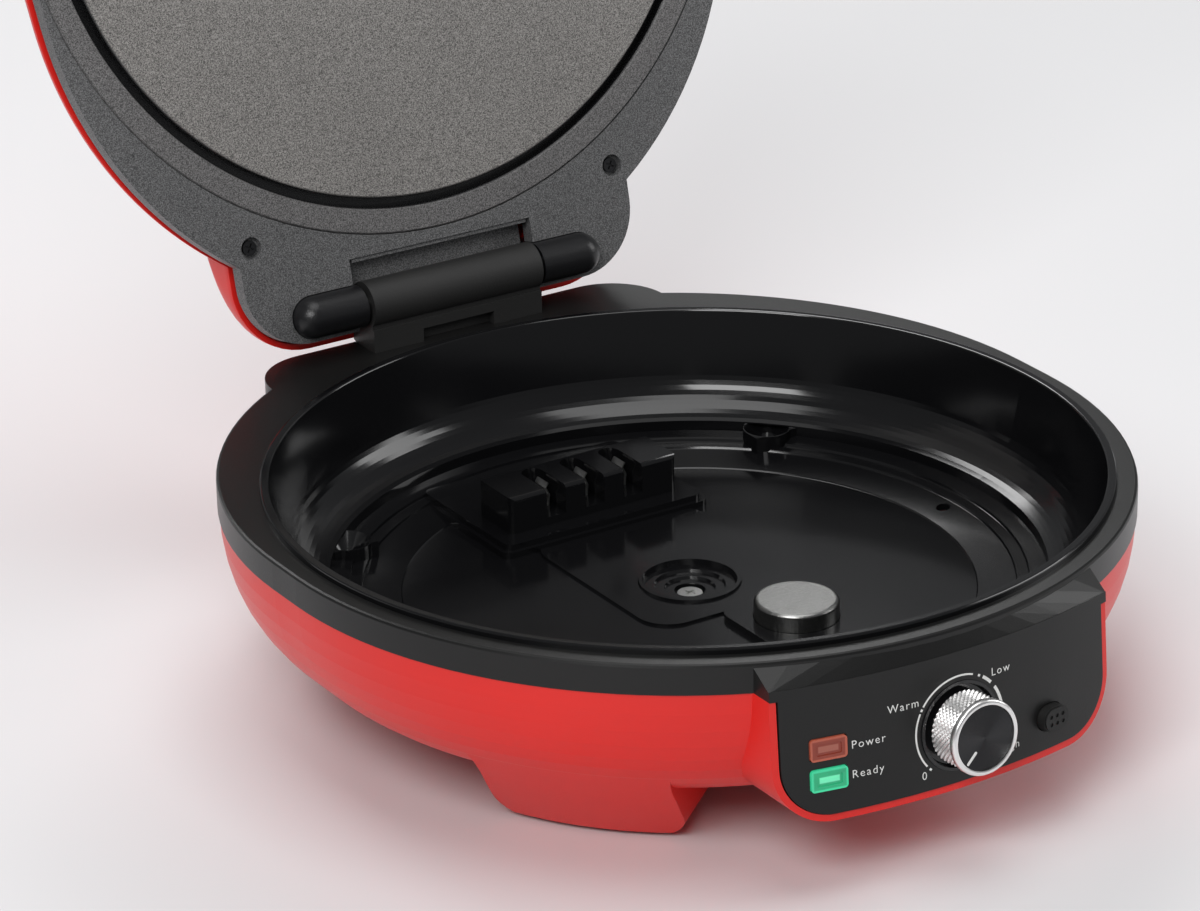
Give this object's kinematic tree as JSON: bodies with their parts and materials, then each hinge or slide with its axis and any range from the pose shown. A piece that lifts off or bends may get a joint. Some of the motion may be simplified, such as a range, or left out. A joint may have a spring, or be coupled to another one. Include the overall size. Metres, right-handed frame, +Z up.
{
  "type": "electric pizza maker",
  "caption": "Round countertop pizza maker with its domed lid leaned open on a rear hinge, an empty plate basin and a front panel with a dial.",
  "frame": {"origin": "on the table, under the middle of the bounding box with the lid open as pictured", "axes": "+Z up, the control panel faces -Y and the hinge is at +Y"},
  "size_m": [0.35, 0.4836, 0.4816],
  "materials": {
    "red_gloss": "glossy red moulding",
    "satin_black": "fine satin black moulding",
    "gloss_black": "polished black moulding",
    "smoked_plastic": "dark glossy moulding",
    "speckled_coating": "speckled grey release coating on cast aluminium",
    "scratched_steel": "stainless steel with fine scratches",
    "steel": "bright plated steel",
    "knob_chrome": "satin chrome with knurling",
    "lens_red": "red transparent lens",
    "lens_green": "green transparent lens",
    "lamp_glass": "clear glass bulb",
    "bright_aluminium": "bright pressed sheet",
    "rubber": "matt black rubber"
  },
  "bodies": {
    "base": {"base_shell": "red_gloss", "legs": "red_gloss", "leg_screws": "steel", "rubber_feet": "rubber", "upper_frame": "satin_black", "inner_basin": "gloss_black", "basin_screws": "steel", "terminal_socket": "gloss_black", "socket_contacts": "steel", "sensor_spring": "steel", "sensor_holder": "steel", "centre_screw": "steel", "dial_bezel": "smoked_plastic", "thermostat": "satin_black", "thermostat_nut": "steel", "power_lens": "lens_red", "ready_lens": "lens_green", "lamp_holder": "satin_black", "neon_lamps": "lamp_glass", "button_spring": "steel", "latch_pin": "steel", "hinge_bracket": "satin_black", "bracket_screws": "steel", "cord_gland": "rubber"},
    "lid": {"lid_shell": "red_gloss", "lid_flange": "speckled_coating", "lid_plate": "speckled_coating", "lid_heater": "steel", "lid_reflector": "bright_aluminium", "lid_knuckles": "gloss_black", "lid_screws": "steel", "lid_grip": "satin_black", "grip_screws": "steel", "hinge_pin": "steel"},
    "knob": {"knob_shaft": "steel", "knob_body": "knob_chrome", "knob_insert": "gloss_black"},
    "button": {"release_button": "satin_black"},
    "latch": {"latch_lever": "steel"},
    "sensor": {"sensor_cup": "scratched_steel"}
  },
  "joints": [
    {"name": "lid_hinge", "type": "hinge", "parent": "base", "child": "lid", "pos_m": [0, 0.1375, 0.1118], "axis": [1, 0, 0], "range_deg": [0, 103]},
    {"name": "knob_turn", "type": "hinge", "parent": "base", "child": "knob", "pos_m": [0, -0.22473, 0.056], "axis": [0, -0.9971, 0.0767], "range_deg": [-270, 0]},
    {"name": "button_press", "type": "slide", "parent": "base", "child": "button", "axis": [-0.1515, 0.9855, -0.0767], "range_m": [0, 0.003], "stiffness_N_per_m": 400, "springref_m": -0.0015, "deforming": ["button_spring"]},
    {"name": "latch_rock", "type": "hinge", "parent": "base", "child": "latch", "pos_m": [0.04113, -0.21005, 0.06261], "axis": [0.9884, 0.152, 0], "range_deg": [0, 10.2]},
    {"name": "sensor_press", "type": "slide", "parent": "base", "child": "sensor", "axis": [0, 0, -1], "range_m": [0, 0.003], "stiffness_N_per_m": 600, "springref_m": -0.003, "deforming": ["sensor_spring"]}
  ],
  "couplings": [
    {"joint": "latch_rock", "follows": "button_press", "rad_per_m": 58.8}
  ]
}
